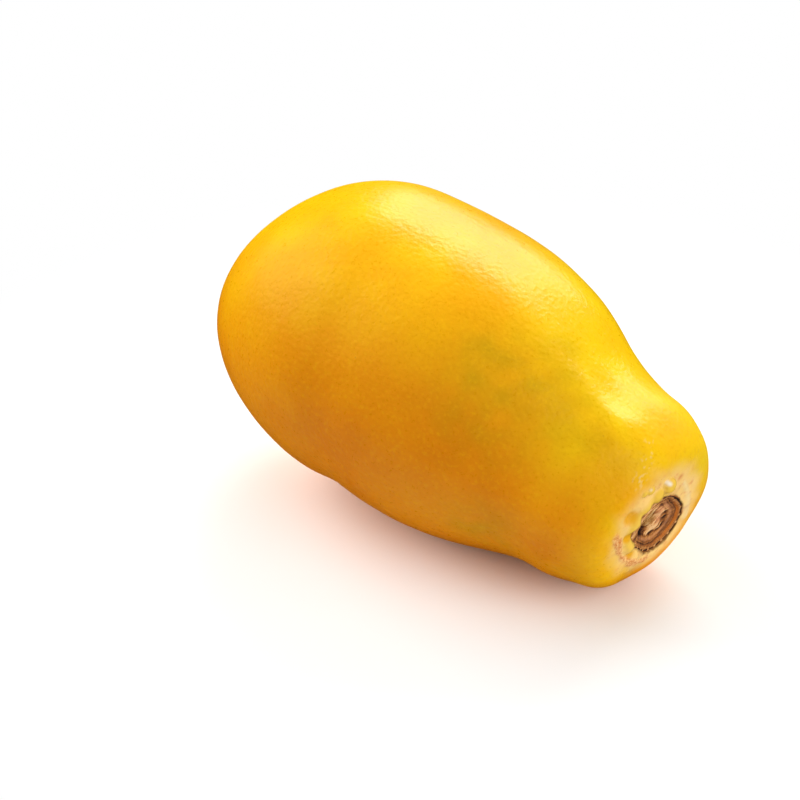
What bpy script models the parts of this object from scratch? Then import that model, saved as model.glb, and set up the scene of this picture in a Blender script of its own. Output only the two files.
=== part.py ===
"""A whole ripe papaya lying on its side on its own small flat spot.

The fruit is one grown piece. The dried stub of its stalk is a second piece, seated in the
hollow at the stem end. Both are turned round the fruit's axis, which runs from the blossom
tip at X = 0 to the stem-end face at X = LENGTH, and then share one bow and one resting tilt.
"""

import math

import bmesh
import bpy
from mathutils import Matrix, Vector
from mathutils.geometry import interpolate_bezier

# Fruit outline, in metres: distance from the blossom tip along the axis, and radius there
LENGTH = 0.1606
BELLY = (0.056, 0.0468)
WAIST = (0.1176, 0.0390)
SHOULDER = (0.1496, 0.0301)

# How strongly the outline leaves and enters each of those points
TIP_HANDLE = 0.0224
BELLY_HANDLES = (0.0297, 0.0166)
WAIST_SLOPE = -0.45
WAIST_HANDLES = (0.0303, 0.0249)
SHOULDER_SLOPE = -0.42
SHOULDER_HANDLES = (0.0122, 0.0098)
END_HANDLE = 0.0120

# The hollow that the stalk left, and the stub that sits in it
HOLLOW_RADIUS = 0.0118
HOLLOW_FLOOR_RADIUS = 0.0100
HOLLOW_DEPTH = 0.0050
HOLLOW_LIP = 0.0006
HOLLOW_CALM = 0.0100
HOLLOW_SHIFT = Vector((0.0, -0.0002, -0.0006))
STUB_GAP = 0.0003
STUB_RECESS = 0.0006
STUB_CUP_RADIUS = 0.0070
STUB_CUP_FLOOR_RADIUS = 0.0039
STUB_CUP_DEPTH = 0.0022

# Five shallow lengthwise grooves between broad lobes, deepest round the neck
LOBES = 5
GROOVE_NARROWNESS = 3
NECK_GROOVE = 0.025
BELLY_GROOVE = 0.003
GROOVE_START = 0.060
GROOVE_FULL = 0.135
FIRST_GROOVE_ANGLE = math.radians(5)

# The axis is bowed: both ends droop from its highest point
BOW_CREST = 0.070
BLOSSOM_DROOP = 0.0092
STEM_DROOP = 0.0050
BOW_LEAN = math.radians(44)

# The stem-end face is a little oblique: its side towards the bow's crest stands forward
FACE_LEAN = 0.10

# At rest the stem end points down, and the belly has settled on a small flat spot
REST_TILT = math.radians(10.6)
FLAT_SPOT_DEPTH = 0.0015

# Fineness of the mesh: facets round each ring, and steps along each stretch of the outline
RING_SEGMENTS = 56
OUTLINE_STEPS = (12, 11, 8, 12)
MERGE_DISTANCE = 1e-6
SHARP_EDGE = math.radians(40)


def material(name, color, roughness):
    """A Principled material; color is linear RGB."""
    made = bpy.data.materials.new(name)
    made.use_nodes = True
    shader = made.node_tree.nodes["Principled BSDF"]
    shader.inputs["Base Color"].default_value = (*color, 1.0)
    shader.inputs["Roughness"].default_value = roughness
    shader.inputs["Metallic"].default_value = 0.0
    return made


def outline_point(knot, direction=(0.0, 0.0), reach=0.0):
    """A point of the half outline in the XZ plane, or the end of a handle that leaves it."""
    return Vector((knot[0] + direction[0] * reach, 0.0, knot[1] + direction[1] * reach))


def fruit_outline():
    """Half outline of the fruit, from the blossom tip over the belly and neck to the hollow's floor."""
    waist_run = Vector((1.0, WAIST_SLOPE)).normalized()
    shoulder_run = Vector((1.0, SHOULDER_SLOPE)).normalized()
    along = (1.0, 0.0)
    outward = (0.0, 1.0)
    tip = (0.0, 0.0)
    end = (LENGTH, HOLLOW_RADIUS + HOLLOW_LIP)
    stretches = (
        (tip, outward, TIP_HANDLE, along, -BELLY_HANDLES[0], BELLY),
        (BELLY, along, BELLY_HANDLES[1], waist_run, -WAIST_HANDLES[0], WAIST),
        (WAIST, waist_run, WAIST_HANDLES[1], shoulder_run, -SHOULDER_HANDLES[0], SHOULDER),
        (SHOULDER, shoulder_run, SHOULDER_HANDLES[1], outward, END_HANDLE, end),
    )
    points = [outline_point(tip)]
    for stretch, steps in zip(stretches, OUTLINE_STEPS):
        start, leaving, out_reach, arriving, in_reach, stop = stretch
        curve = interpolate_bezier(
            outline_point(start),
            outline_point(start, leaving, out_reach),
            outline_point(stop, arriving, in_reach),
            outline_point(stop),
            steps + 1,
        )
        points += curve[1:]
    floor = LENGTH - HOLLOW_DEPTH
    points += [
        outline_point((LENGTH - HOLLOW_LIP, HOLLOW_RADIUS)),
        outline_point((floor, HOLLOW_FLOOR_RADIUS)),
        outline_point((floor, HOLLOW_FLOOR_RADIUS / 2)),
        outline_point((floor, 0.0)),
    ]
    return points


def stub_outline():
    """Half outline of the stalk stub, from its buried end up the side, over the rim and into its cup."""
    buried = LENGTH - HOLLOW_DEPTH + STUB_GAP
    top = LENGTH - STUB_RECESS
    rim = HOLLOW_RADIUS - 2 * STUB_GAP
    return [
        outline_point((buried, 0.0)),
        outline_point((buried, HOLLOW_FLOOR_RADIUS - 2 * STUB_GAP)),
        outline_point((top - STUB_RECESS, rim)),
        outline_point((top, rim - STUB_RECESS)),
        outline_point((top - STUB_RECESS, STUB_CUP_RADIUS)),
        outline_point((top - STUB_CUP_DEPTH, STUB_CUP_FLOOR_RADIUS)),
        outline_point((top - STUB_CUP_DEPTH, 0.0)),
    ]


def turned(outline):
    """A closed solid of revolution about X."""
    mesh = bmesh.new()
    verts = [mesh.verts.new(point) for point in outline]
    edges = [mesh.edges.new(pair) for pair in zip(verts, verts[1:])]
    bmesh.ops.spin(
        mesh,
        geom=verts + edges,
        axis=(1, 0, 0),
        cent=(0, 0, 0),
        angle=math.tau,
        steps=RING_SEGMENTS,
        use_merge=True,
    )
    bmesh.ops.remove_doubles(mesh, verts=mesh.verts, dist=MERGE_DISTANCE)
    bmesh.ops.recalc_face_normals(mesh, faces=mesh.faces)
    return mesh


def ease(value, start, stop):
    """0 before start, 1 after stop, and a smooth S between them."""
    t = min(max((value - start) / (stop - start), 0.0), 1.0)
    return t * t * (3 - 2 * t)


def groove(mesh):
    """Presses the five lengthwise grooves into the fruit, leaving its hollow round."""
    for vert in mesh.verts:
        radius = math.hypot(vert.co.y, vert.co.z)
        angle = math.atan2(vert.co.y, vert.co.z) - FIRST_GROOVE_ANGLE
        nearness = (0.5 + 0.5 * math.cos(LOBES * angle)) ** GROOVE_NARROWNESS
        depth = BELLY_GROOVE + (NECK_GROOVE - BELLY_GROOVE) * ease(vert.co.x, GROOVE_START, GROOVE_FULL)
        fade = ease(radius - HOLLOW_RADIUS - HOLLOW_LIP, 0.0, HOLLOW_CALM)
        scale = 1 - depth * nearness * fade
        vert.co.y *= scale
        vert.co.z *= scale


def droop_at(x):
    """How far the bowed axis lies below its crest at x, and how steeply it falls along X."""
    run, drop = (-BOW_CREST, BLOSSOM_DROOP) if x < BOW_CREST else (LENGTH - BOW_CREST, STEM_DROOP)
    t = (x - BOW_CREST) / run
    fall = drop * t * t * (3 - 2 * t)
    steepness = drop * 6 * t * (1 - t) / run
    return fall, steepness


def shift_hollow(mesh):
    """Moves everything within the stem-end face off the axis, most at the hollow, which stays round."""
    for vert in mesh.verts:
        if vert.co.x > SHOULDER[0]:
            radius = math.hypot(vert.co.y, vert.co.z)
            vert.co += HOLLOW_SHIFT * (1 - ease(radius - HOLLOW_RADIUS - HOLLOW_LIP, 0.0, HOLLOW_CALM))


def bow(mesh):
    """Bends a mesh along the fruit's bowed axis, turning each cross-section with it."""
    crest = Vector((0.0, math.sin(BOW_LEAN), math.cos(BOW_LEAN)))
    for vert in mesh.verts:
        fall, steepness = droop_at(vert.co.x)
        lean = FACE_LEAN * ease(vert.co.x, WAIST[0], LENGTH)
        vert.co.x += (steepness + lean) * vert.co.dot(crest)
        vert.co -= crest * fall


def flatten(mesh, rest_turn):
    """Cuts the small flat spot under the belly, and gives the height of its plane."""
    lowest = min((rest_turn @ vert.co).z for vert in mesh.verts)
    plane = lowest + FLAT_SPOT_DEPTH
    down = rest_turn.inverted() @ Vector((0, 0, -1))
    cut = bmesh.ops.bisect_plane(
        mesh,
        geom=mesh.verts[:] + mesh.edges[:] + mesh.faces[:],
        plane_co=down * -plane,
        plane_no=down,
        clear_outer=True,
    )
    rim = [item for item in cut["geom_cut"] if isinstance(item, bmesh.types.BMEdge)]
    bmesh.ops.edgeloop_fill(mesh, edges=rim)
    bmesh.ops.recalc_face_normals(mesh, faces=mesh.faces)
    return plane


def node(name, mesh, finish, parent):
    """Makes the named object of one sub-part from its finished mesh."""
    data = bpy.data.meshes.new(name)
    mesh.to_mesh(data)
    mesh.free()
    data.materials.append(finish)
    data.shade_smooth()
    data.set_sharp_from_angle(angle=SHARP_EDGE)
    made = bpy.data.objects.new(name, data)
    bpy.context.scene.collection.objects.link(made)
    made.parent = parent
    return made


def resting_place(mesh, rest_turn, plane):
    """Where the fruit's own origin goes, so that its box is centred and its flat spot lies at zero."""
    corners = [rest_turn @ vert.co for vert in mesh.verts]
    middle_x = (min(c.x for c in corners) + max(c.x for c in corners)) / 2
    middle_y = (min(c.y for c in corners) + max(c.y for c in corners)) / 2
    return Vector((-middle_x, -middle_y, -plane))


def main():
    for leftover in list(bpy.data.objects):
        bpy.data.objects.remove(leftover, do_unlink=True)

    rest_turn = Matrix.Rotation(REST_TILT, 3, "Y")
    fruit_mesh = turned(fruit_outline())
    groove(fruit_mesh)
    shift_hollow(fruit_mesh)
    bow(fruit_mesh)
    plane = flatten(fruit_mesh, rest_turn)
    stub_mesh = turned(stub_outline())
    shift_hollow(stub_mesh)
    bow(stub_mesh)

    resting = bpy.data.objects.new("resting_frame", None)
    bpy.context.scene.collection.objects.link(resting)
    resting.rotation_euler = (0.0, REST_TILT, 0.0)
    resting.location = resting_place(fruit_mesh, rest_turn, plane)

    skin = material("ripe_papaya_skin", (0.83, 0.42, 0.012), 0.34)
    stalk = material("dried_stalk", (0.24, 0.12, 0.05), 0.75)
    node("fruit", fruit_mesh, skin, resting)
    node("stem_stub", stub_mesh, stalk, resting)


main()
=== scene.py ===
"""A whole ripe papaya, lying on its side on a pale studio floor.

The skin repeats the fruit's turned outline, grooves and bow in a fine mesh, then gets its listed
detail: the fleshy beads and corky tear round the stalk's scar, dents, and a small blossom scar.
The dried stalk stub is a second piece, with the rings and fibres of its broken wood.
"""

import math

import bmesh
import bpy
import numpy as np
from mathutils import Matrix, Vector, noise
from mathutils.geometry import interpolate_bezier


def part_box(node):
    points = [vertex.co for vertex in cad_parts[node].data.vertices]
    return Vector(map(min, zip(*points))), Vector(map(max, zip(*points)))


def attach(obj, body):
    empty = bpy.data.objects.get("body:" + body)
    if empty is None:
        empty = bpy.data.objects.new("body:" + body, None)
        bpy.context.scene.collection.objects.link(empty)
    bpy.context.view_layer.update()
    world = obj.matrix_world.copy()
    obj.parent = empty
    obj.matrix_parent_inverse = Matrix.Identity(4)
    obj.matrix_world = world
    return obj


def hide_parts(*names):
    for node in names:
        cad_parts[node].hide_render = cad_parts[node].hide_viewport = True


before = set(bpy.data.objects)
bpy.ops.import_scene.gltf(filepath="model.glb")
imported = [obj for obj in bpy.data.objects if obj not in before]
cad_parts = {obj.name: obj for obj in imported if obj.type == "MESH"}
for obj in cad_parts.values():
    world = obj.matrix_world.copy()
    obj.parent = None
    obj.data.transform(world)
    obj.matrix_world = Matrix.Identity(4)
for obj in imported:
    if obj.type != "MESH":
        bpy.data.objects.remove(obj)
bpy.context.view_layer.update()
MM = 0.001

# Fruit outline, in metres: distance from the blossom tip along the axis, and radius there
LENGTH = 0.1606
BELLY = (0.056, 0.0468)
WAIST = (0.1176, 0.0390)
SHOULDER = (0.1496, 0.0301)
TIP_HANDLE = 0.0224
BELLY_HANDLES = (0.0297, 0.0166)
WAIST_SLOPE = -0.45
WAIST_HANDLES = (0.0303, 0.0249)
SHOULDER_SLOPE = -0.42
SHOULDER_HANDLES = (0.0122, 0.0098)
END_HANDLE = 0.0120

# The hollow that the stalk left, and the stub that sits in it
HOLLOW_RADIUS = 0.0118
HOLLOW_FLOOR_RADIUS = 0.0100
HOLLOW_DEPTH = 0.0050
HOLLOW_LIP = 0.0006
HOLLOW_CALM = 0.0100
HOLLOW_SHIFT = (-0.0002, -0.0006)
# The scar is really a slanting oval: how much longer and shorter than round, and its long direction
SCAR_STRETCH = 0.15
SCAR_SLANT = -48
SCAR_FADE = (0.013, 0.023)

# Five shallow lengthwise grooves between broad lobes, deepest round the neck
LOBES = 5
GROOVE_NARROWNESS = 3
NECK_GROOVE = 0.025
BELLY_GROOVE = 0.003
GROOVE_START = 0.060
GROOVE_FULL = 0.135
FIRST_GROOVE_ANGLE = math.radians(5)

# The bow of the axis, the lean of the stem-end face, and how the fruit rests
BOW_CREST = 0.070
BLOSSOM_DROOP = 0.0092
STEM_DROOP = 0.0050
BOW_LEAN = math.radians(44)
FACE_LEAN = 0.10
REST_TILT = math.radians(10.6)
FLAT_SPOT_DEPTH = 0.0015
FLAT_SPOT_SOFTNESS = 0.0006

# Fineness of the skin: facets round each ring, and steps along each stretch of the outline
SKIN_SEGMENTS = 320
SKIN_STEPS = (74, 60, 44, 80)
HOLLOW_STEPS = (2, 9, 3)
STUB_SEGMENTS = 360
MERGE_DISTANCE = 1e-7

# Where the camera stands, what way it looks, and its lens
CAMERA_PLACE = (0.51892, -0.67584, 0.59146)
CAMERA_TURN = (math.radians(57.0), 0.0, math.radians(38.7))
CAMERA_LENS = 150.0
SENSOR_WIDTH = 36.0
CAMERA_CLIP = (0.01, 50.0)
# The studio's softboxes: name, azimuth and elevation in degrees, distance and size in metres, watts,
# and whether the fruit mirrors it. A broad box behind, brightest along its top edge, and big fills.
SOFTBOXES = (
    ("back_box", -17, 34, 1.1, (0.84, 0.74), 6.5, True),
    ("back_box_top_edge", -16, 49, 1.05, (0.70, 0.16), 2.4, True),
    ("blossom_end_fill", 260, 28, 1.7, (1.3, 1.3), 26.5, False),
    ("blossom_end_high_fill", 260, 58, 1.7, (1.3, 1.3), 1.5, False),
    ("stem_end_fill", 100, 32, 1.6, (1.2, 1.2), 8.5, False),
    ("stem_end_low_fill", 78, 12, 1.6, (1.2, 0.5), 8.5, False),
    ("front_fill", 225, 30, 1.6, (1.6, 1.2), 3.0, False),
)
AIM_HEIGHT = 0.04
# How brightly the white room and the far floor light the fruit, where 1 is as bright as they look
ROOM_LIGHT = 0.42
FLOOR_LIGHT = 0.30
# The floor, in metres: its radius, and where its matt paper starts and ends fading into white
FLOOR_RADIUS = 12.0
FLOOR_SEGMENTS = 96
FLOOR_FADE = (0.05, 0.20)


# ---------------------------------------------------------------- small helpers


def ease(value, start, stop):
    """0 before start, 1 after stop, and a smooth S between them."""
    t = np.clip((value - start) / (stop - start), 0.0, 1.0)
    return t * t * (3 - 2 * t)


def hump(distance, reach):
    """1 at no distance, falling smoothly to 0 at reach."""
    return 1 - ease(distance, 0.0, reach)


def dome(distance, reach):
    """A full round bead: 1 at no distance, with steep sides that end at reach."""
    return np.sqrt(np.clip(1 - (distance / reach) ** 2, 0.0, 1.0))


def turn_between(angle, centre):
    """How far apart two directions round the axis are, in degrees."""
    return np.abs((angle - centre + 180) % 360 - 180)


def clouds(points, size, seed=0.0):
    """Soft noise from -1 to 1 over the points, with lumps about that size across."""
    offset = Vector((seed, seed * 1.7, seed * 0.6))
    return np.array([noise.noise(Vector(point) / size + offset) for point in points])


def uneven(points, amount, width, seed):
    """The same noise, up to about that amount, in lumps that wide in millimetres."""
    return amount * clouds(points, width * MM, seed)


def path_distance(places, path):
    """Distance of each flat place from the nearest stretch of a path through flat points."""
    nearest = np.full(len(places), np.inf)
    for start, stop in zip(path, path[1:]):
        start = np.array(start)
        run = np.array(stop) - start
        share = np.clip((places - start) @ run / (run @ run), 0.0, 1.0)
        gap = np.linalg.norm(places - start - share[:, None] * run, axis=1)
        nearest = np.minimum(nearest, gap)
    return nearest


def coordinates(mesh):
    """The mesh's points as an array, one row each."""
    flat = np.empty(len(mesh.vertices) * 3, np.float32)
    mesh.vertices.foreach_get("co", flat)
    return flat.reshape(-1, 3).astype(float)


def move_to(mesh, points):
    """Writes the points back to the mesh."""
    mesh.vertices.foreach_set("co", points.astype(np.float32).ravel())
    mesh.update()


def paint(mesh, name, values):
    """Keeps one number for each point of the mesh, for its material to read."""
    layer = mesh.attributes.new(name, "FLOAT", "POINT")
    layer.data.foreach_set("value", np.clip(values, 0.0, 1.0).astype(np.float32))


def linear(hex_colour):
    """An sRGB hex colour, such as "ffcc00", as linear RGBA."""
    parts = [int(hex_colour[i : i + 2], 16) / 255 for i in (0, 2, 4)]
    return [c / 12.92 if c <= 0.04045 else ((c + 0.055) / 1.055) ** 2.4 for c in parts] + [1.0]


def add_node(tree, kind, settings=None, inputs=None):
    """Adds a node with its settings; each input is a fixed value or the socket that feeds it."""
    made = tree.nodes.new(kind)
    for name, value in (settings or {}).items():
        setattr(made, name, value)
    for name, value in (inputs or {}).items():
        if isinstance(value, bpy.types.NodeSocket):
            tree.links.new(value, made.inputs[name])
        else:
            made.inputs[name].default_value = value
    return made


def set_ramp(ramp_node, stops):
    """Sets a colour ramp's stops, given as (position, hex colour)."""
    elements = ramp_node.color_ramp.elements
    while len(elements) < len(stops):
        elements.new(0.5)
    for element, (position, colour) in zip(elements, stops):
        element.position = position
        element.color = linear(colour)


# Settings that several nodes share
SOFT_ENDS = {"interpolation_type": "SMOOTHSTEP"}
COLOURS = {"data_type": "RGBA"}
MULTIPLY = {"operation": "MULTIPLY"}
MULTIPLY_ADD = {"operation": "MULTIPLY_ADD"}


# ---------------------------------------------------------------- camera, floor and light


def make_camera():
    """A long lens, looking down on the stem end from the front right."""
    lens = bpy.data.cameras.new("camera")
    lens.lens = CAMERA_LENS
    lens.sensor_width = SENSOR_WIDTH
    lens.clip_start, lens.clip_end = CAMERA_CLIP
    camera = bpy.data.objects.new("camera", lens)
    camera.location = CAMERA_PLACE
    camera.rotation_euler = CAMERA_TURN
    bpy.context.scene.collection.objects.link(camera)
    bpy.context.scene.camera = camera


def softbox(name, azimuth, elevation, distance, size, power, mirrored):
    """A softbox facing the fruit; azimuth is in degrees from straight behind it towards the stem end."""
    lamp = bpy.data.lights.new(name, "AREA")
    lamp.shape = "RECTANGLE"
    lamp.size, lamp.size_y = size
    lamp.energy = power
    box = bpy.data.objects.new(name, lamp)
    turn = math.radians(azimuth)
    across = distance * math.cos(math.radians(elevation))
    height = distance * math.sin(math.radians(elevation))
    place = Vector((across * math.sin(turn), across * math.cos(turn), height))
    box.location = place + Vector((0.0, 0.0, AIM_HEIGHT))
    box.rotation_euler = place.to_track_quat("Z", "Y").to_euler()
    box.visible_glossy = mirrored
    bpy.context.scene.collection.objects.link(box)


def seen_or_lighting(tree, seen, lighting):
    """A strength that differs between what the eye meets directly and what lights the fruit."""
    path = add_node(tree, "ShaderNodeLightPath")
    strength = add_node(
        tree,
        "ShaderNodeMapRange",
        inputs={"Value": path.outputs["Is Camera Ray"], "To Min": lighting, "To Max": seen},
    )
    return strength.outputs["Result"]


def make_world():
    """A white room: plain white to look at, and dimmer as light so that shapes keep their shade."""
    world = bpy.data.worlds.new("white_room")
    world.use_nodes = True
    world.cycles_visibility.glossy = False
    bpy.context.scene.world = world
    tree = world.node_tree
    tree.nodes.clear()
    background = add_node(
        tree,
        "ShaderNodeBackground",
        inputs={"Color": linear("ffffff"), "Strength": seen_or_lighting(tree, 1.0, ROOM_LIGHT)},
    )
    add_node(tree, "ShaderNodeOutputWorld", inputs={"Surface": background.outputs["Background"]})


def paper_sweep():
    """Matt white background paper: it takes the shadow near the fruit and glows white further out."""
    made = bpy.data.materials.new("matt_white_paper")
    made.use_nodes = True
    tree = made.node_tree
    tree.nodes.clear()
    place = add_node(tree, "ShaderNodeTexCoord").outputs["Object"]
    reach = add_node(tree, "ShaderNodeVectorMath", {"operation": "LENGTH"}, {0: place})
    far = add_node(
        tree,
        "ShaderNodeMapRange",
        SOFT_ENDS,
        {"Value": reach.outputs["Value"], "From Min": FLOOR_FADE[0], "From Max": FLOOR_FADE[1]},
    )
    matt = add_node(tree, "ShaderNodeBsdfDiffuse", inputs={"Color": linear("fbfaf8")})
    glow = add_node(
        tree,
        "ShaderNodeEmission",
        inputs={"Color": linear("ffffff"), "Strength": seen_or_lighting(tree, 1.0, FLOOR_LIGHT)},
    )
    mixed = add_node(
        tree,
        "ShaderNodeMixShader",
        inputs={0: far.outputs["Result"], 1: matt.outputs["BSDF"], 2: glow.outputs["Emission"]},
    )
    add_node(tree, "ShaderNodeOutputMaterial", inputs={"Surface": mixed.outputs["Shader"]})
    return made


def make_floor():
    """A wide round floor."""
    shape = bmesh.new()
    bmesh.ops.create_circle(shape, cap_ends=True, segments=FLOOR_SEGMENTS, radius=FLOOR_RADIUS)
    data = bpy.data.meshes.new("floor")
    shape.to_mesh(data)
    shape.free()
    data.materials.append(paper_sweep())
    floor = bpy.data.objects.new("floor", data)
    bpy.context.scene.collection.objects.link(floor)
    floor.visible_glossy = False


# ---------------------------------------------------------------- the fruit's own shape


def outline_point(knot, direction=(0.0, 0.0), reach=0.0):
    """A point of the half outline in the XZ plane, or the end of a handle that leaves it."""
    return Vector((knot[0] + direction[0] * reach, 0.0, knot[1] + direction[1] * reach))


def skin_outline():
    """Half outline of the skin, from the blossom tip to the middle of the hollow's floor."""
    waist_run = Vector((1.0, WAIST_SLOPE)).normalized()
    shoulder_run = Vector((1.0, SHOULDER_SLOPE)).normalized()
    along = (1.0, 0.0)
    outward = (0.0, 1.0)
    tip = (0.0, 0.0)
    end = (LENGTH, HOLLOW_RADIUS + HOLLOW_LIP)
    stretches = (
        (tip, outward, TIP_HANDLE, along, -BELLY_HANDLES[0], BELLY),
        (BELLY, along, BELLY_HANDLES[1], waist_run, -WAIST_HANDLES[0], WAIST),
        (WAIST, waist_run, WAIST_HANDLES[1], shoulder_run, -SHOULDER_HANDLES[0], SHOULDER),
        (SHOULDER, shoulder_run, SHOULDER_HANDLES[1], outward, END_HANDLE, end),
    )
    points = [outline_point(tip)]
    for stretch, steps in zip(stretches, SKIN_STEPS):
        start, leaving, out_reach, arriving, in_reach, stop = stretch
        curve = interpolate_bezier(
            outline_point(start),
            outline_point(start, leaving, out_reach),
            outline_point(stop, arriving, in_reach),
            outline_point(stop),
            steps + 1,
        )
        points += curve[1:]
    floor = LENGTH - HOLLOW_DEPTH
    corners = (end, (LENGTH - HOLLOW_LIP, HOLLOW_RADIUS), (floor, HOLLOW_FLOOR_RADIUS), (floor, 0.0))
    for start, stop, steps in zip(corners, corners[1:], HOLLOW_STEPS):
        for step in range(1, steps + 1):
            points.append(outline_point(start).lerp(outline_point(stop), step / steps))
    return points


def turned(outline, segments):
    """A closed surface of revolution about X, as a new mesh."""
    shape = bmesh.new()
    verts = [shape.verts.new(point) for point in outline]
    edges = [shape.edges.new(pair) for pair in zip(verts, verts[1:])]
    bmesh.ops.spin(
        shape,
        geom=verts + edges,
        axis=(1, 0, 0),
        cent=(0, 0, 0),
        angle=math.tau,
        steps=segments,
        use_merge=True,
    )
    bmesh.ops.remove_doubles(shape, verts=shape.verts, dist=MERGE_DISTANCE)
    bmesh.ops.recalc_face_normals(shape, faces=shape.faces)
    mesh = bpy.data.meshes.new("turned")
    shape.to_mesh(mesh)
    shape.free()
    return mesh


def groove(points):
    """Presses in the five lengthwise grooves, leaving the hollow round."""
    radius = np.hypot(points[:, 1], points[:, 2])
    angle = np.arctan2(points[:, 1], points[:, 2]) - FIRST_GROOVE_ANGLE
    nearness = (0.5 + 0.5 * np.cos(LOBES * angle)) ** GROOVE_NARROWNESS
    depth = BELLY_GROOVE + (NECK_GROOVE - BELLY_GROOVE) * ease(points[:, 0], GROOVE_START, GROOVE_FULL)
    fade = ease(radius - HOLLOW_RADIUS - HOLLOW_LIP, 0.0, HOLLOW_CALM)
    points[:, 1:] *= (1 - depth * nearness * fade)[:, None]


def shift_hollow(points):
    """Moves the hollow and what is near it off the axis."""
    radius = np.hypot(points[:, 1], points[:, 2])
    share = 1 - ease(radius - HOLLOW_RADIUS - HOLLOW_LIP, 0.0, HOLLOW_CALM)
    share[points[:, 0] <= SHOULDER[0]] = 0.0
    points[:, 1:] += share[:, None] * np.array(HOLLOW_SHIFT)


def oval(points):
    """Draws the round hollow, and what is near it, out into the scar's slanting oval."""
    away = points[:, 1:] - np.array(HOLLOW_SHIFT)
    gap = np.linalg.norm(away, axis=1)
    angle = np.degrees(np.arctan2(away[:, 0], away[:, 1]))
    stretch = SCAR_STRETCH * np.cos(np.radians(2 * (angle - SCAR_SLANT)))
    share = 1 - ease(gap, *SCAR_FADE)
    share[points[:, 0] <= SHOULDER[0]] = 0.0
    points[:, 1:] += away * (stretch * share)[:, None]


def bow(points):
    """Bends the points along the bowed axis, turning each cross-section with it."""
    crest = np.array((0.0, math.sin(BOW_LEAN), math.cos(BOW_LEAN)))
    x = points[:, 0].copy()
    blossom_half = x < BOW_CREST
    run = np.where(blossom_half, -BOW_CREST, LENGTH - BOW_CREST)
    drop = np.where(blossom_half, BLOSSOM_DROOP, STEM_DROOP)
    t = (x - BOW_CREST) / run
    steepness = drop * 6 * t * (1 - t) / run
    lean = FACE_LEAN * ease(x, WAIST[0], LENGTH)
    points[:, 0] += (steepness + lean) * (points @ crest)
    points -= (drop * t * t * (3 - 2 * t))[:, None] * crest


def at_rest(points, move=(0.0, 0.0, 0.0)):
    """Tilts the points the way the fruit rests, and moves them."""
    turn = np.array(Matrix.Rotation(REST_TILT, 3, "Y"))
    return points @ turn.T + np.array(move)


def resting_move(points):
    """The move that brings the plain bowed skin onto the frame's fruit."""
    low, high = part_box("fruit")
    posed = at_rest(points)
    centre = (posed.min(0) + posed.max(0)) / 2
    down = low.z - posed[:, 2].min() - FLAT_SPOT_DEPTH
    return ((low.x + high.x) / 2 - centre[0], (low.y + high.y) / 2 - centre[1], down)


def settle(points):
    """Flattens the belly softly where its weight has pressed it on the floor."""
    z = points[:, 2]
    points[:, 2] = (z + np.sqrt(z * z + FLAT_SPOT_SOFTNESS**2)) / 2


# ---------------------------------------------------------------- the skin's listed detail


# Where the stem-end face begins, in mm along the axis, and a distance that nothing on it reaches
END_START = (146.0, 154.0)
FAR_AWAY = 60.0


class SkinPlaces:
    """Where each point of the skin lies: along the axis, round it, and on the stem-end face."""

    def __init__(self, points):
        self.points = points
        self.along = points[:, 0] / MM
        self.angle = np.degrees(np.arctan2(points[:, 1], points[:, 2]))
        self.radius = np.hypot(points[:, 1], points[:, 2]) / MM
        self.face = points[:, 1:] / MM
        from_scar = self.face - np.array(HOLLOW_SHIFT) / MM
        self.scar_gap = np.hypot(from_scar[:, 0], from_scar[:, 1])
        self.scar_angle = np.degrees(np.arctan2(from_scar[:, 0], from_scar[:, 1]))
        stretch = SCAR_STRETCH * np.cos(np.radians(2 * (self.scar_angle - SCAR_SLANT)))
        self.lip_gap = self.scar_gap - (HOLLOW_RADIUS + HOLLOW_LIP) / MM * (1 + stretch)
        self.near_end = ease(self.along, *END_START)
        inside = (self.along > sum(END_START) / 2) & (self.lip_gap < -0.05)
        self.outside = np.where(inside, 0.0, 1.0)

    def surface_gap(self, along, angle):
        """Rough distance over the skin, in millimetres, from a place along and round the axis."""
        sideways = np.radians(turn_between(self.angle, angle)) * self.radius
        return np.hypot(self.along - along, sideways)

    def face_gap(self, y, z):
        """Distance on the stem-end face, in millimetres."""
        return np.hypot(self.face[:, 0] - y, self.face[:, 1] - z) + FAR_AWAY * (1 - self.near_end)

    def path_gap(self, path):
        """Distance from a path on the stem-end face, in millimetres."""
        return path_distance(self.face, path) + FAR_AWAY * (1 - self.near_end)

    def near_lip(self, gap, reach):
        """1 at a gap from the hollow's lip, in millimetres, falling to 0 at reach to both sides."""
        return hump(np.abs(self.lip_gap - gap), reach) * self.near_end

    def scar_side(self, centre, reach):
        """1 in one direction from the scar, falling to 0 as far round it as reach, in degrees."""
        return hump(turn_between(self.scar_angle, centre), reach)

    def scar_ring(self, gap, width):
        """1 at a gap from the hollow's lip, in millimetres, fading to both sides of it."""
        return np.exp(-(((self.lip_gap - gap) / width) ** 2)) * self.near_end


# Directions from the scar, each with how far round it reaches, in degrees: the fleshy collar, the lip
# that hangs over the stub, the yellow flesh, the apricot bloom, and the flat far side
COLLAR_SIDE = (-60, 105)
OVERHANG_SIDE = (-20, 60)
FLESH_SIDE = (-55, 100)
BLOOM_SIDE = (-30, 130)
FAR_SIDE = (95, 100)
# The collar's ring and the moat outside it: gap from the hollow's lip, and width, in millimetres
COLLAR_RING = (1.6, 1.4)
COLLAR_MOAT = (6.0, 2.6)
# How high the collar stands all round and how much more on its own side, and how deep the moat is
COLLAR_RISE = (0.15, 0.55)
MOAT_DEPTH = 0.55
# The dip on the far side: depth, gap from the lip and reach; and the height and reach of its ridge
FAR_DIP = (0.85, 0.5, 5.0)
RIDGE = (0.30, 1.4)
# Fine puckers round the lip: how many, height, gap from the lip and reach
PUCKERS = (17, 0.07, 2.5, 6.0)
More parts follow.
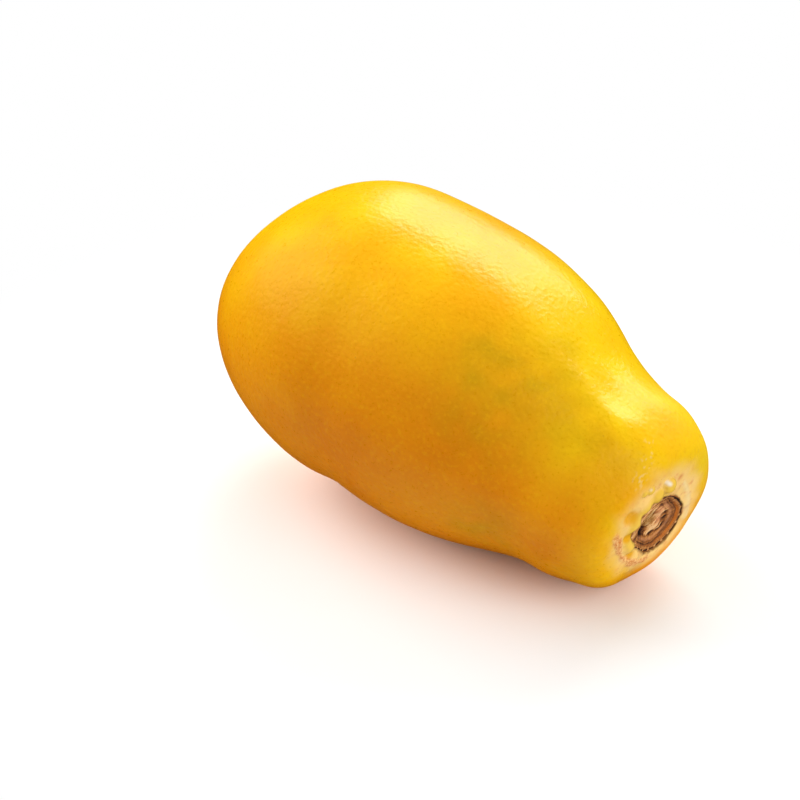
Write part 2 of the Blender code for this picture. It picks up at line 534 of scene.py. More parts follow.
# How far the lip is drawn in: all round, where it hangs over, on the far side, and the reach of that
LIP_PULL = (0.45, 0.5, 0.6)
LIP_REACH = 1.8
# Fleshy beads left where the stalk's collar tore away: y, z, reach and height in millimetres
BEADS = (
    (-1.2, 15.9, 2.5, 2.1),
    (-5.4, 14.0, 2.2, 0.8),
    (-9.0, 17.4, 1.5, 0.8),
    (-11.4, 17.2, 1.1, 0.6),
)
# Soft lobes of flesh under them, with the same four numbers; a lobe below 0 is a sunken pit
LOBES_OF_FLESH = (
    (-10.4, 12.4, 3.6, 0.9),
    (-15.6, 10.0, 3.7, -1.0),
    (-12.6, 6.6, 3.0, 0.8),
    (-14.8, 2.2, 3.0, -0.9),
    (-12.8, -2.4, 3.0, 0.8),
    (-12.2, -6.6, 2.6, -0.6),
    (-8.8, -9.6, 2.6, 0.5),
)
# Dents and swellings of the skin: mm along the axis, degrees round it, reach mm, height mm
SWELLINGS = (
    (152, -40, 13, -0.8),
    (159, -138, 12, 1.1),
    (148, -118, 14, -0.9),
    (150, -142, 12, -0.4),
    (158, 84, 13, 0.9),
    (158, 118, 14, 0.7),
    (158, 155, 14, 0.9),
    (147, 44, 14, 0.3),
    (124, -26, 20, 0.9),
    (126, 22, 18, -0.8),
    (134, 56, 16, 0.6),
    (108, -34, 24, -0.35),
    (136, -70, 22, 0.5),
    (117, 58, 20, -0.4),
    (97, 50, 22, -0.5),
    (30, -102, 24, -0.6),
    (70, -60, 34, 0.5),
)
TORN_EDGE = ((-19.6, 5.0), (-18.0, 0.4), (-15.2, -5.4), (-10.8, -9.6), (-5.8, -12.6), (-1.0, -14.4))
PALE_CRESCENT = ((7.2, 12.2), (10.6, 7.2), (12.8, 2.4), (14.0, -2.4), (14.6, -6.4))
# Where pale flecks dot the shoulder above the scar: mm along the axis, and degrees round it
FLECK_TRAIL = ((151.6, -8), (153.2, -11), (155.0, -18), (156.6, -24), (157.8, -33))
FLECK_STEPS = (0.0, 0.25, 0.5, 0.75, 1.0)
FLECK_REACH = 2.6
FLECK_EDGE = (0.22, 0.42)
FLECK_HEIGHT = 0.12
# The corky tear: height and reach in millimetres
TEAR = (0.30, 1.6)
# The blossom scar: a dimple with a nipple, each with its height and reach, and a ring of sepal marks
# with their number, height, gap from the tip and reach; it all ends that far along the axis
BLOSSOM_DIMPLE = (-1.3, 6.5)
BLOSSOM_NIPPLE = (0.8, 2.2)
SEPAL_MARKS = (5, 0.25, 3.0, 0.9)
BLOSSOM_END = (4, 12)
# Folds along the top of the neck, in millimetres: height, spacing, where the first one and the middle
# of them lie round the neck, how far they reach, and where along it they grow and fade
FOLD_HEIGHT = 0.34
FOLD_SPACING = 12.0
FIRST_FOLD = -2.5
MIDDLE_FOLD = (5.0, 15.0)
FOLD_CREASE = (0.10, 8.0, 3.0)
FOLDS_GROW = (110, 126)
FOLDS_FADE = (138, 148)
NECK_TOP_ANGLE = -9
# Unevenness, each with its amount, the width of its lumps in millimetres and a place in the noise:
# of the skin all over, of the tear's line and crumbs, of the flecks and of the hollow's lip
ALL_OVER = ((0.35, 30, 3.0), (0.10, 9, 8.0))
TEAR_WANDER = (1.2, 3.0, 15.0)
TEAR_CRUMBS = (0.25, 1.1, 5.0)
FLECK_SCATTER = (1.0, 0.9, 27.0)
LIP_WOBBLE = (0.5, 3.2, 12.0)


def swell(skin, height):
    """Broad unevenness of the grown fruit, and the folds of its neck."""
    for along, angle, reach, rise in SWELLINGS:
        height += rise * hump(skin.surface_gap(along, angle), reach)
    for lumps in ALL_OVER:
        height += uneven(skin.points, *lumps)
    round_neck = np.radians((skin.angle - NECK_TOP_ANGLE + 180) % 360 - 180) * skin.radius
    middle, reach = MIDDLE_FOLD
    waves = np.cos((round_neck - FIRST_FOLD) * math.tau / FOLD_SPACING)
    folds = FOLD_HEIGHT * waves * hump(np.abs(round_neck - middle), reach)
    depth, place, reach = FOLD_CREASE
    folds -= depth * hump(np.abs(round_neck - place), reach)
    height += folds * ease(skin.along, *FOLDS_GROW) * (1 - ease(skin.along, *FOLDS_FADE))


def shape_collar(skin, height):
    """The soft collar round the scar, with its beads, its pucker and the thin ridge on the far side."""
    all_round, on_side = COLLAR_RISE
    side = skin.scar_side(*COLLAR_SIDE)
    height += (all_round + on_side * side) * skin.scar_ring(*COLLAR_RING)
    height -= MOAT_DEPTH * side * skin.scar_ring(*COLLAR_MOAT)
    depth, gap, reach = FAR_DIP
    height -= depth * skin.scar_side(*FAR_SIDE) * skin.near_lip(gap, reach)
    count, rise, gap, reach = PUCKERS
    height += rise * np.cos(np.radians(skin.scar_angle * count)) * skin.near_lip(gap, reach)
    beads = np.zeros(len(height))
    for y, z, reach, rise in BEADS:
        beads = np.maximum(beads, rise * dome(skin.face_gap(y, z), reach))
    height += beads
    for y, z, reach, rise in LOBES_OF_FLESH:
        height += rise * hump(skin.face_gap(y, z), reach)
    rise, reach = RIDGE
    height += rise * hump(skin.path_gap(PALE_CRESCENT), reach)


def tear_edge(skin, height):
    """The corky torn edge below the scar; gives the distance from its ragged line."""
    gap = skin.path_gap(TORN_EDGE) + uneven(skin.points, *TEAR_WANDER)
    rise, reach = TEAR
    height += (rise + uneven(skin.points, *TEAR_CRUMBS)) * hump(gap, reach)
    return gap


def raise_flecks(skin, height):
    """A broken trail of pale raised flecks, about 0.5 mm across, on the shoulder above the scar."""
    nearest = np.full(len(height), FAR_AWAY)
    for (start, first), (stop, last) in zip(FLECK_TRAIL, FLECK_TRAIL[1:]):
        for share in FLECK_STEPS:
            place = (start + (stop - start) * share, first + (last - first) * share)
            nearest = np.minimum(nearest, skin.surface_gap(*place))
    flecks = hump(nearest, FLECK_REACH) * ease(uneven(skin.points, *FLECK_SCATTER), *FLECK_EDGE)
    height += FLECK_HEIGHT * flecks
    return flecks


def pull_lip(points, skin):
    """Makes the lip of the hollow uneven, and draws it in where flesh hangs over the stub."""
    all_round, over, far = LIP_PULL
    inward = all_round + over * skin.scar_side(*OVERHANG_SIDE) + far * skin.scar_side(*FAR_SIDE)
    inward += uneven(points, *LIP_WOBBLE)
    inward *= skin.near_lip(0.0, LIP_REACH) * skin.outside * MM
    away = points[:, 1:] - np.array(HOLLOW_SHIFT)
    away /= np.maximum(np.linalg.norm(away, axis=1), MERGE_DISTANCE)[:, None]
    points[:, 1:] -= inward[:, None] * away


def blossom_scar(skin, height):
    """The small dimpled scar where the flower fell off the tip: a nipple and five faint sepal marks."""
    from_tip = skin.radius + FAR_AWAY * ease(skin.along, *BLOSSOM_END)
    for rise, reach in (BLOSSOM_DIMPLE, BLOSSOM_NIPPLE):
        height += rise * hump(from_tip, reach)
    count, rise, gap, reach = SEPAL_MARKS
    sepals = np.cos(np.radians(skin.angle * count)) ** 2
    height += rise * hump(np.abs(from_tip - gap), reach) * sepals


# Where the skin is yellower or, below 0, more orange, partly its own colour and partly painted shade on
# the lower side: mm along, degrees round, reach mm, amount
RIPENESS_AND_PAINTED_SHADE = (
    (74, 16, 44, -0.20),
    (100, 20, 20, 0.06),
    (36, 0, 24, -0.12),
    (18, -60, 24, 0.06),
    (95, -24, 25, -0.15),
    (70, -88, 45, -0.26),
    (92, -72, 30, -0.10),
    (112, -68, 30, -0.30),
    (128, -80, 16, -0.12),
    (148, -99, 12, -0.26),
    (137, -10, 13, 0.13),
    (136, -42, 14, 0.18),
    (160, -105, 24, 0.45),
    (156, -62, 10, 0.18),
    (161, -150, 20, 0.25),
    (147, -74, 12, -0.18),
    (151, 10, 16, -0.10),
)
# Faint green clouds: mm along, degrees round, reach mm, amount
GREEN_CLOUDS = (
    (118, -8, 12, 0.35),
    (143, -28, 17, 0.30),
    (106, -32, 20, 0.45),
    (112, -52, 28, 0.35),
    (128, -20, 22, 0.30),
    (124, -106, 18, 0.45),
    (100, 130, 28, 0.35),
)
# Ripeness without those patches: its middle, how far it swings from lemon to orange, the orange
# underneath darkened as painted shade, and the sunny side in degrees round
RIPE_MIDDLE = 0.50
RIPE_AND_SHADE_SWING = 0.34
SUNNY_ANGLE = 32
# The apricot bloom fades out between two gaps from the scar's middle, in millimetres: each is given
# with how much further out it lies on the bloom's own side
BLOOM_START = (14.0, 4.0)
BLOOM_STOP = (20.0, 6.5)
# The yellow flesh of the collar: gap from the lip and reach in millimetres, its edge, and its strength
FLESH_RING = (1.2, 3.4)
FLESH_EDGE = (0.05, 0.7)
FLESH_STRENGTH = 0.9
# How far from their middle the beads' and pits' colours start and stop fading, as shares of their reach
BEAD_FADE = (0.8, 1.2)
PIT_FADE = (0.4, 0.9)
PIT_STRENGTH = 0.9
# Where colour ends: the cork's gap from its line, and the scar's brown edge inside the lip
CORK_EDGE = (0.5, 1.7)
BROWN_EDGE = (-0.1, 0.15)
# Strength of the flecks' pale colour, and of the ridge's with its reach in millimetres
PALE_FLECKS = 0.36
PALE_RIDGE = (0.45, 1.5)
# Unevenness of the painted colours: amount, width of the lumps in millimetres, place in the noise
RIPE_CLOUDS = (0.10, 16, 21.0)
GREEN_MOTTLE = (0.8, 6, 33.0)
GREEN_SHARE = 0.75
BLOOM_RAGGED = (2.0, 5, 41.0)
STAIN_MOTTLE = (0.9, 1.6, 71.0)
STAIN_SHARE = 0.7
CORK_RAGGED = (0.5, 1.6, 51.0)
EDGE_RAGGED = (0.15, 1.5, 61.0)
# Red-brown stains round the scar, and near-white highlights painted on the wet beads: y, z, reach and
# strength
STAINS = (
    (4.3, 15.7, 2.4, 0.8),
    (-5.5, 17.6, 2.0, 0.5),
    (13.0, -1.0, 2.6, 0.6),
    (11.8, -7.0, 2.6, 0.5),
)
PAINTED_BEAD_HIGHLIGHTS = ((-2.5, 17.5, 1.2, 1.0), (-9.6, 18.2, 0.8, 0.5))
# The skin is duller towards the stem end: from and to mm along it, and from and to degrees round it
DULL_ALONG = (128, 144)
DULL_ROUND = (-12, 14)


def skin_normals(mesh):
    """The direction in which each point of the skin faces."""
    flat = np.empty(len(mesh.vertices) * 3, np.float32)
    mesh.vertex_normals.foreach_get("vector", flat)
    return flat.reshape(-1, 3).astype(float)


def paint_skin(mesh, skin, torn_gap, flecks):
    """Keeps the skin's ripening colour with painted shade underneath, green tinge, apricot bloom, flesh,
    cork and painted bead highlights as point values.
    """
    # Lemon on the sunny side, darker orange opposite: partly ripening colour and partly painted shade
    ripe = RIPE_MIDDLE + RIPE_AND_SHADE_SWING * np.cos(np.radians(skin.angle - SUNNY_ANGLE))
    for along, angle, reach, rise in RIPENESS_AND_PAINTED_SHADE:
        ripe += rise * hump(skin.surface_gap(along, angle), reach)
    paint(mesh, "ripeness_and_painted_shade", ripe + uneven(skin.points, *RIPE_CLOUDS))

    green = np.zeros(len(skin.points))
    for along, angle, reach, rise in GREEN_CLOUDS:
        green += rise * hump(skin.surface_gap(along, angle), reach)
    paint(mesh, "green_tinge", green * (GREEN_SHARE + uneven(skin.points, *GREEN_MOTTLE)))

    side = skin.scar_side(*BLOOM_SIDE)
    start, stop = (near + more * side for near, more in (BLOOM_START, BLOOM_STOP))
    bloom = 1 - ease(skin.scar_gap + uneven(skin.points, *BLOOM_RAGGED), start, stop)
    paint(mesh, "apricot", bloom * skin.near_end)

    collar = skin.near_lip(*FLESH_RING) * skin.scar_side(*FLESH_SIDE)
    flesh = FLESH_STRENGTH * ease(collar, *FLESH_EDGE)
    for y, z, reach, _ in BEADS:
        flesh = np.maximum(flesh, 1 - ease(skin.face_gap(y, z) / reach, *BEAD_FADE))
    paint(mesh, "flesh", flesh)
    pits = np.zeros(len(skin.points))
    for y, z, reach, rise in LOBES_OF_FLESH:
        if rise < 0:
            pits = np.maximum(pits, 1 - ease(skin.face_gap(y, z) / reach, *PIT_FADE))
    paint(mesh, "pit", PIT_STRENGTH * pits)
    stain = np.zeros(len(skin.points))
    for y, z, reach, strength in STAINS:
        stain = np.maximum(stain, strength * hump(skin.face_gap(y, z), reach))
    paint(mesh, "stain", stain * (STAIN_SHARE + uneven(skin.points, *STAIN_MOTTLE)))

    paint(mesh, "cork", 1 - ease(torn_gap + uneven(skin.points, *CORK_RAGGED), *CORK_EDGE))
    strength, reach = PALE_RIDGE
    ridge = strength * hump(skin.path_gap(PALE_CRESCENT), reach)
    paint(mesh, "pale", np.maximum(PALE_FLECKS * flecks, ridge))
    # Near-white spots painted on two beads as their highlights
    painted_highlight = sum(strength * hump(skin.face_gap(y, z), reach) for y, z, reach, strength in PAINTED_BEAD_HIGHLIGHTS)
    paint(mesh, "painted_bead_highlight", painted_highlight)
    edge = 1 - ease(skin.lip_gap + uneven(skin.points, *EDGE_RAGGED), *BROWN_EDGE)
    paint(mesh, "scar_edge", np.maximum(edge, 1 - skin.outside) * skin.near_end)
    paint(mesh, "dull_bloom", ease(skin.along, *DULL_ALONG) * ease(skin.angle, *DULL_ROUND))


def make_skin():
    """The whole skin in one fine mesh."""
    mesh = turned(skin_outline(), SKIN_SEGMENTS)
    mesh.name = "fruit_skin"
    points = coordinates(mesh)
    groove(points)
    shift_hollow(points)
    plain = points.copy()
    bow(plain)
    move = resting_move(plain)
    oval(points)
    move_to(mesh, points)

    skin = SkinPlaces(points.copy())
    height = np.zeros(len(points))
    swell(skin, height)
    shape_collar(skin, height)
    torn_gap = tear_edge(skin, height)
    flecks = raise_flecks(skin, height)
    blossom_scar(skin, height)
    points += skin_normals(mesh) * (height * skin.outside * MM)[:, None]
    pull_lip(points, skin)
    paint_skin(mesh, skin, torn_gap, flecks)

    bow(points)
    points = at_rest(points, move)
    settle(points)
    move_to(mesh, points)
    return mesh, move


# ---------------------------------------------------------------- the stalk stub


STUB_RADIUS = 0.0117
STUB_TOP = LENGTH + 0.0003
STUB_BURIED = LENGTH - HOLLOW_DEPTH + 0.0003
STUB_BURIED_RADIUS = HOLLOW_FLOOR_RADIUS - 0.0006
STUB_SIDE_TOP = STUB_TOP - 0.0012
STUB_SIDE_STEPS = 5
STUB_TOP_STEPS = 78
# Relief of the broken wood: distance from its middle, and depth below its top, in millimetres
WOOD_LEVELS = (
    (0.0, 2.4),
    (3.0, 2.3),
    (4.6, 2.4),
    (5.8, 2.3),
    (6.6, 1.8),
    (7.3, 1.4),
    (8.0, 1.2),
    (8.6, 0.8),
    (9.2, 0.9),
    (10.0, 0.3),
    (10.9, 0.1),
    (11.7, 0.2),
)
# The torn pit stops this far below the top, in millimetres, and leaves wood under it
WOOD_DEEPEST = 4.3
# Pits, below 0, and bumps of the torn wood: y, z, reach and height in millimetres
WOOD_DENTS = (
    (-4.6, -2.4, 3.4, -2.2),
    (3.2, 3.2, 3.4, 1.0),
    (3.0, -3.6, 2.6, 0.9),
    (-2.4, 3.4, 2.4, 0.5),
)
# Shade of the wood at the same kind of places, from 0 for near black to 1 for pale
WOOD_SHADES = (
    (0.0, 0.58),
    (2.6, 0.56),
    (4.6, 0.50),
    (5.8, 0.38),
    (6.3, 0.22),
    (7.0, 0.50),
    (7.7, 0.42),
    (8.1, 0.34),
    (8.8, 0.42),
    (9.05, 0.12),
    (9.4, 0.36),
    (9.9, 0.46),
    (10.7, 0.50),
    (10.85, 0.02),
    (11.25, 0.02),
    (11.4, 0.45),
    (11.7, 0.50),
)


# Darker, below 0, and paler places of the wood: y, z, reach and change of shade; the first is painted
# shade darkening the torn pit
WOOD_PATCHES_AND_PIT_SHADE = (
    (-4.6, -2.4, 3.5, -1.00),
    (0.2, -1.0, 3.0, -0.25),
    (2.9, -4.2, 2.8, 0.28),
    (3.2, 3.2, 3.8, 0.20),
)
# Rosy and olive places of the wood: y, z, reach and strength
ROSY_PATCHES = ((3.0, 3.4, 4.0, 1.0), (3.4, -1.4, 3.0, 1.0))
OLIVE_PATCHES = ((-2.8, 2.6, 4.6, 1.3), (-1.0, 0.0, 4.0, 0.9))
# Rings of the wood: distance from its middle, and reach to both sides, in millimetres
VESSEL_RING = (11.05, 0.6)
AMBER_RING = (9.75, 0.8)
ROSY_RING = (7.6, 0.9)
# Where the amber ring and the strip of bark lie round the stub, and how far, in degrees
AMBER_SIDE = (105, 110)
BARK_SIDE = (-60, 85)
# How many vessels the dark ring is broken into, and where it stays whole: direction, near and far edge
VESSELS = 23
WHOLE_SIDE = 40
WHOLE_REACH = (15, 60)
VESSEL_EDGE = (0.10, 0.24)
VESSEL_GAP_SHADE = 0.75
# Noise read round a circle of radius 1, with its amount, the width of its lumps and its place: the
# waves of the rings in mm, with where they grow and fade out from the middle, and the vessels' spacing
RING_WAVES = ((0.85, 0.55, 2.0), (0.40, 0.16, 6.0))
WAVES_GROW = (2.0, 8.0)
WAVES_FADE = (10.0, 11.4)
VESSEL_SPACING = (2.4, 0.30, 8.0)
# Streaky noise, with how fine it is round the stub and per mm outwards, and its place in the noise
FIBRES = (9, 0.18, 9.0)
STRANDS = (2, 2.4, 4.0)
# The torn fibres of the cup: their direction, how fine per mm along and across it, their place, and
# the same for a second, finer set with its strength
TORN_ALONG = math.radians(54)
TORN_FINENESS = (0.22, 1.5)
TORN_PLACE = 14.0
FINER_TORN = (2.3, 18.0, 0.5)
# Where the bark begins and where the cup ends, in mm from the middle
BARK_EDGE = (7.2, 8.2)
CUP_EDGE = (5.6, 7.0)
# The bark's own depth and shade, each with how much its torn fibres change it
BARK_DEPTH = (0.55, 0.45)
BARK_SHADE = (0.56, 0.45)
# How much the streaks raise the wood in millimetres, and how much paler they make it: fibres and torn
# fibres in the cup, torn fibres everywhere, and strands
CUP_RELIEF = (0.15, 0.55)
STRAND_RELIEF = 0.15
CUP_STREAKS = (0.06, 0.75)
TORN_STREAKS = 0.16
STRAND_STREAKS = 0.06
# Strength of the rosy tint all over, and on its ring
ROSY_STRENGTH = 0.8
ROSY_RING_STRENGTH = 0.6


def stub_outline():
    """Half outline of the stub: a plain plug, finely stepped over its top so that it can be shaped."""
    edge = outline_point((STUB_SIDE_TOP, STUB_RADIUS))
    corner = outline_point((STUB_BURIED, STUB_BURIED_RADIUS))
    points = [outline_point((STUB_BURIED, 0.0)), corner]
    for step in range(1, STUB_SIDE_STEPS + 1):
        points.append(corner.lerp(edge, step / STUB_SIDE_STEPS))
    for step in range(STUB_TOP_STEPS + 1):
        points.append(outline_point((STUB_TOP, STUB_RADIUS * (1 - step / STUB_TOP_STEPS))))
    return points


class WoodPlaces:
    """Where each point of the stub lies on its broken end, in millimetres and degrees."""

    def __init__(self, points):
        self.flat = points[:, 1:] / MM
        self.gap = np.hypot(self.flat[:, 0], self.flat[:, 1])
        self.angle = np.degrees(np.arctan2(self.flat[:, 0], self.flat[:, 1]))
        turn = np.radians(self.angle)
        self.circle = np.column_stack([np.sin(turn), np.cos(turn), 0 * turn])
        waves = sum(amount * clouds(self.circle, width, seed) for amount, width, seed in RING_WAVES)
        self.ring = self.gap + waves * ease(self.gap, *WAVES_GROW) * (1 - ease(self.gap, *WAVES_FADE))
        amount, width, seed = VESSEL_SPACING
        self.spacing = amount * clouds(self.circle, width, seed)
        self.fibre = self.streaks(*FIBRES)
        self.strands = self.streaks(*STRANDS)
        run = self.flat[:, 0] * math.sin(TORN_ALONG) + self.flat[:, 1] * math.cos(TORN_ALONG)
        rise = self.flat[:, 0] * math.cos(TORN_ALONG) - self.flat[:, 1] * math.sin(TORN_ALONG)
        torn = np.column_stack([run * TORN_FINENESS[0], rise * TORN_FINENESS[1], 0 * run])
        finer, seed, strength = FINER_TORN
        self.torn = clouds(torn, 1.0, TORN_PLACE) + strength * clouds(torn * finer, 1.0, seed)
        self.bark = ease(self.ring, *BARK_EDGE) * self.side(*BARK_SIDE)
        self.in_cup = 1 - ease(self.gap, *CUP_EDGE)

    def streaks(self, round_it, outwards, seed):
        """Noise that is as fine as that round the stub, and per millimetre outwards."""
        places = np.column_stack([self.circle[:, :2] * round_it, self.ring * outwards])
        return clouds(places, 1.0, seed)

    def patches(self, places):
        """The sum of soft round patches: y, z, reach and strength."""
        total = np.zeros(len(self.flat))
        for y, z, reach, strength in places:
            total += strength * hump(np.hypot(self.flat[:, 0] - y, self.flat[:, 1] - z), reach)
        return total

    def side(self, centre, reach):
        """1 in one direction from the middle, falling to 0 as far round it as reach, in degrees."""
        return hump(turn_between(self.angle, centre), reach)

    def on_ring(self, place, reach):
        """1 on a ring of the wood, falling to 0 at reach to both sides of it."""
        return hump(np.abs(self.ring - place), reach)


def wood_depth(wood):
    """How deep the broken wood lies below its top, in millimetres."""
    plain, torn = BARK_DEPTH
    depth = np.interp(wood.ring, *zip(*WOOD_LEVELS))
    depth = depth * (1 - wood.bark) + wood.bark * (plain + torn * wood.torn)
    fibre, torn = CUP_RELIEF
    depth -= (fibre * wood.fibre + torn * wood.torn) * wood.in_cup
    depth -= STRAND_RELIEF * wood.strands * (1 - wood.in_cup)
    return np.minimum(depth - wood.patches(WOOD_DENTS), WOOD_DEEPEST)


def wood_shade(wood):
    """How pale the broken wood is, with a dashed ring of dark sap vessels just inside its edge, and
    painted shade in its torn pit.
    """
    shade = np.interp(wood.ring, *zip(*WOOD_SHADES))
    dashes = 0.5 + 0.5 * np.cos(np.radians(wood.angle * VESSELS) + wood.spacing + wood.strands)
    broken = (1 - ease(dashes, *VESSEL_EDGE)) * ease(turn_between(wood.angle, WHOLE_SIDE), *WHOLE_REACH)
    shade += VESSEL_GAP_SHADE * wood.on_ring(*VESSEL_RING) * broken
    plain, torn = BARK_SHADE
    shade = shade * (1 - wood.bark) + wood.bark * (plain + torn * wood.torn)
    fibre, torn = CUP_STREAKS
    shade += (fibre * wood.fibre + torn * wood.torn) * wood.in_cup
    shade += TORN_STREAKS * wood.torn + STRAND_STREAKS * wood.strands
    # The patches include painted shade that darkens the torn pit
    return shade + wood.patches(WOOD_PATCHES_AND_PIT_SHADE)


def make_stub(move):
    """The dried stub: rings of bark and wood round a torn, fibrous cup."""
    mesh = turned(stub_outline(), STUB_SEGMENTS)
    mesh.name = "stalk_stub"
    points = coordinates(mesh)
    top = points[:, 0] > STUB_TOP - 0.01 * MM
    wood = WoodPlaces(points)
    points[:, 0] -= np.where(top, wood_depth(wood) * MM, 0.0)

    paint(mesh, "wood_shade", wood_shade(wood))
    paint(mesh, "amber", wood.on_ring(*AMBER_RING) * wood.side(*AMBER_SIDE) * (1 - wood.bark))
    rosy = wood.patches(ROSY_PATCHES) + ROSY_RING_STRENGTH * wood.on_ring(*ROSY_RING)
    paint(mesh, "rosy", ROSY_STRENGTH * rosy * (1 - wood.bark))
    paint(mesh, "olive", wood.patches(OLIVE_PATCHES))

    points[:, 1:] += np.array(HOLLOW_SHIFT)
    oval(points)
    bow(points)
    move_to(mesh, at_rest(points, move))
    return mesh


# ---------------------------------------------------------------- materials


# Patterns of the skin: width of their lumps in mm, detail and roughness. The marbling is a little
# coarser than the real rind's so that it shows.
SKIN_PATTERNS = {
    "clouding": (9.0, 3.0, 0.55),
    "marbling": (1.2, 3.0, 0.60),
    "blush": (3.0, 3.0, 0.60),
    "cork": (0.8, 4.0, 0.70),
    "dimples": (1.5, 2.0, 0.40),
}
# What is painted on the skin, and read by its material
SKIN_PAINTS = (
    "ripeness_and_painted_shade",
    "green_tinge",
    "apricot",
    "flesh",
    "pit",
    "stain",
    "pale",
    "painted_bead_highlight",
    "cork",
    "scar_edge",
    "dull_bloom",
)
# Ripening colours; the darker orange stops also carry painted shade for the underside
RIPENING_AND_SHADE_TONES = ((0.06, "e27c00"), (0.22, "ee8c00"), (0.45, "f49c00"), (0.72, "f6b000"), (1.0, "f8d000"))
# Tiny brown specks, 0.4 to 0.6 mm wide, in a few of the places 5.5 mm apart where they could be
SPECK_SPACING_MM = 5.5
WOOD_TONES = ((0.05, "281812"), (0.22, "5c3214"), (0.42, "9c5c24"), (0.60, "cc8c46"), (0.85, "f0c288"))
WOOD_FIBRE_MM = 0.5


def ripe_papaya_skin():
    """Thin waxy rind of a ripe papaya, grown, not made.

    It goes from lemon on top to orange underneath, the darker orange partly painted shade, with faint
    green clouds and a leathery grain that breaks the edges of the highlights. The beads round the scar
    are wet-looking flesh, with highlights painted on two of them.
    """
    made = bpy.data.materials.new("ripe_papaya_skin")
    made.use_nodes = True
    tree = made.node_tree
    shader = tree.nodes["Principled BSDF"]
    place = add_node(tree, "ShaderNodeTexCoord").outputs["Object"]
    painted = {
        name: add_node(tree, "ShaderNodeAttribute", {"attribute_name": name}).outputs["Fac"]
        for name in SKIN_PAINTS
    }
    pattern = {}
    for name, (width, detail, roughness) in SKIN_PATTERNS.items():
        lumps = {"Vector": place, "Scale": 1000 / width, "Detail": detail, "Roughness": roughness}
        pattern[name] = add_node(tree, "ShaderNodeTexNoise", inputs=lumps).outputs["Fac"]
    cells = add_node(
        tree, "ShaderNodeTexVoronoi", inputs={"Vector": place, "Scale": 1000 / SPECK_SPACING_MM}
    )
    chance = add_node(tree, "ShaderNodeSeparateColor", inputs={"Color": cells.outputs["Color"]})

    # Soft steps: what each reads, from and to where it steps, and what it gives before and after
    step = {}
    for name, read, start, stop, before, after in (
        ("light_marbling", pattern["marbling"], 0.50, 0.72, 0.0, 0.24),
        ("dark_marbling", pattern["marbling"], 0.47, 0.30, 0.0, 0.20),
        ("wax", pattern["marbling"], 0.30, 0.70, 0.27, 0.36),
        ("blush", pattern["blush"], 0.52, 0.70, 0.0, 0.6),
        ("cork", pattern["cork"], 0.38, 0.62, 0.0, 1.0),
        ("dot", cells.outputs["Distance"], 0.055, 0.035, 0.0, 1.0),
        ("chosen", chance.outputs["Red"], 0.86, 0.90, 0.0, 1.0),
    ):
        limits = {"Value": read, "From Min": start, "From Max": stop, "To Min": before, "To Max": after}
        step[name] = add_node(tree, "ShaderNodeMapRange", SOFT_ENDS, limits).outputs["Result"]
    product = {}
    for name, first, second in (
        ("speck", step["dot"], step["chosen"]),
        ("blush", step["blush"], painted["apricot"]),
        ("cork_height", pattern["cork"], painted["cork"]),
    ):
        product[name] = add_node(tree, "ShaderNodeMath", MULTIPLY, {0: first, 1: second}).outputs["Value"]
    speck = add_node(tree, "ShaderNodeMapRange", SOFT_ENDS, {"Value": product["speck"], "To Max": 0.35})

    # Ripeness and the painted shade underneath, with its clouds, then everything that lies over it, from
    # the bottom up
    ripeness_and_painted_shade = add_node(
        tree, "ShaderNodeMath", MULTIPLY_ADD, {0: pattern["clouding"], 1: 0.22, 2: painted["ripeness_and_painted_shade"]}
    )
    ramp = add_node(tree, "ShaderNodeValToRGB", inputs={"Fac": ripeness_and_painted_shade.outputs["Value"]})
    set_ramp(ramp, RIPENING_AND_SHADE_TONES)
    cork = add_node(
        tree,
        "ShaderNodeMix",
        COLOURS,
        {0: step["cork"], 6: linear("dc8438"), 7: linear("ffcc84")},
    )
    colour = ramp.outputs["Color"]
    for share, over in (
        (painted["green_tinge"], linear("c09a00")),
        (step["light_marbling"], linear("ffc800")),
        (step["dark_marbling"], linear("d88c00")),
        (speck.outputs["Result"], linear("b87818")),
        (painted["apricot"], linear("ffd27c")),
        (product["blush"], linear("ee9c50")),
        (painted["flesh"], linear("f6c84c")),
        (painted["pit"], linear("eeaa14")),
        (painted["stain"], linear("d87830")),
        (painted["pale"], linear("fbe8b0")),
        # the highlights painted on the beads
        (painted["painted_bead_highlight"], linear("fff6e6")),
        (painted["cork"], cork.outputs[2]),
        (painted["scar_edge"], linear("8a5226")),
    ):
        colour = add_node(tree, "ShaderNodeMix", COLOURS, {0: share, 6: colour, 7: over}).outputs[2]
    tree.links.new(colour, shader.inputs["Base Color"])

    # Waxy and a little glossy, duller towards the stem end; the cork is dry and the flesh is wet
    gloss = step["wax"]
    for name, change in (("dull_bloom", 0.17), ("cork", 0.4), ("flesh", -0.20)):
        parts = {0: painted[name], 1: change, 2: gloss}
        gloss = add_node(tree, "ShaderNodeMath", MULTIPLY_ADD, parts).outputs["Value"]
    tree.links.new(gloss, shader.inputs["Roughness"])
    shader.inputs["IOR"].default_value = 1.45
    shader.inputs["Specular Tint"].default_value = linear("fff0c4")

    # Leathery dimples over finer pores, and rougher crumbs on the cork
    coarse = add_node(
        tree,
        "ShaderNodeBump",
        inputs={"Strength": 0.7, "Distance": 0.3 * MM, "Height": pattern["dimples"]},
    )
    rough = add_node(
        tree,
        "ShaderNodeBump",
        inputs={
            "Strength": 0.6,
            "Distance": 0.5 * MM,
            "Height": product["cork_height"],
            "Normal": coarse.outputs["Normal"],
        },
    )
    tree.links.new(rough.outputs["Normal"], shader.inputs["Normal"])
    return made


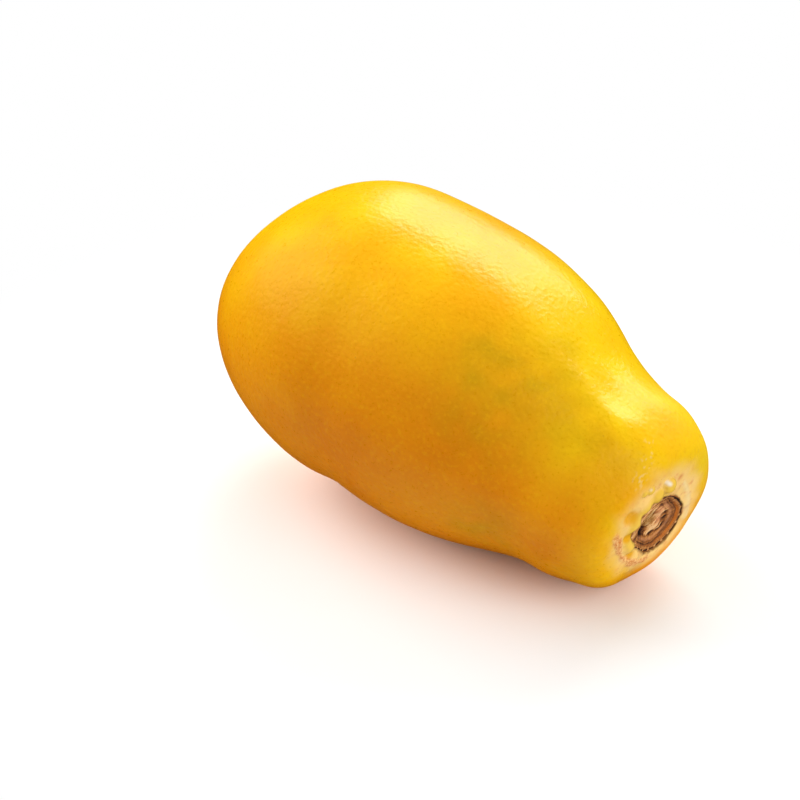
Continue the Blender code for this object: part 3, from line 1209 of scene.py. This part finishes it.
def dried_stalk_wood():
    """Papaya stalk, broken off and dried: matt fibrous bark and pith, with one resinous amber ring."""
    made = bpy.data.materials.new("dried_stalk_wood")
    made.use_nodes = True
    tree = made.node_tree
    shader = tree.nodes["Principled BSDF"]
    place = add_node(tree, "ShaderNodeTexCoord").outputs["Object"]
    painted = {
        name: add_node(tree, "ShaderNodeAttribute", {"attribute_name": name}).outputs["Fac"]
        for name in ("wood_shade", "rosy", "olive", "amber")
    }
    lumps = {"Vector": place, "Scale": 1000 / WOOD_FIBRE_MM, "Detail": 3.0, "Roughness": 0.65}
    fibres = add_node(tree, "ShaderNodeTexNoise", inputs=lumps).outputs["Fac"]

    # Soft steps: what each reads, from and to where it steps, and what it gives before and after
    step = {}
    for name, read, start, stop, before, after in (
        ("fibres", fibres, 0.3, 0.7, -0.5, 0.5),
        ("rosy", painted["rosy"], 0.0, 1.0, 0.0, 0.75),
        ("olive", painted["olive"], 0.0, 1.0, 0.0, 0.50),
        ("amber", painted["amber"], 0.0, 1.0, 0.0, 0.90),
        ("resin", painted["amber"], 0.2, 0.9, 0.78, 0.34),
    ):
        limits = {"Value": read, "From Min": start, "From Max": stop, "To Min": before, "To Max": after}
        step[name] = add_node(tree, "ShaderNodeMapRange", SOFT_ENDS, limits).outputs["Result"]
    shade = add_node(
        tree, "ShaderNodeMath", MULTIPLY_ADD, {0: step["fibres"], 1: 0.16, 2: painted["wood_shade"]}
    )
    ramp = add_node(tree, "ShaderNodeValToRGB", inputs={"Fac": shade.outputs["Value"]})
    set_ramp(ramp, WOOD_TONES)
    colour = ramp.outputs["Color"]
    for share, over in (("rosy", "e09a6a"), ("olive", "8c6418"), ("amber", "c86c10")):
        parts = {0: step[share], 6: colour, 7: linear(over)}
        colour = add_node(tree, "ShaderNodeMix", COLOURS, parts).outputs[2]
    tree.links.new(colour, shader.inputs["Base Color"])
    tree.links.new(step["resin"], shader.inputs["Roughness"])
    shader.inputs["IOR"].default_value = 1.5
    bump = add_node(
        tree, "ShaderNodeBump", inputs={"Strength": 0.4, "Distance": 0.3 * MM, "Height": fibres}
    )
    tree.links.new(bump.outputs["Normal"], shader.inputs["Normal"])
    return made


# ---------------------------------------------------------------- putting it together


def add_piece(name, mesh, finish, node):
    """Makes the object of one piece, riding on the body and standing for its frame node."""
    mesh.materials.append(finish)
    mesh.shade_smooth()
    piece = bpy.data.objects.new(name, mesh)
    bpy.context.scene.collection.objects.link(piece)
    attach(piece, "root")
    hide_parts(node)


def main():
    bpy.context.scene.view_settings.view_transform = "Standard"
    make_camera()
    make_floor()
    for facts in SOFTBOXES:
        softbox(*facts)
    make_world()
    skin_mesh, move = make_skin()
    add_piece("papaya_skin", skin_mesh, ripe_papaya_skin(), "fruit")
    add_piece("papaya_stub", make_stub(move), dried_stalk_wood(), "stem_stub")


main()
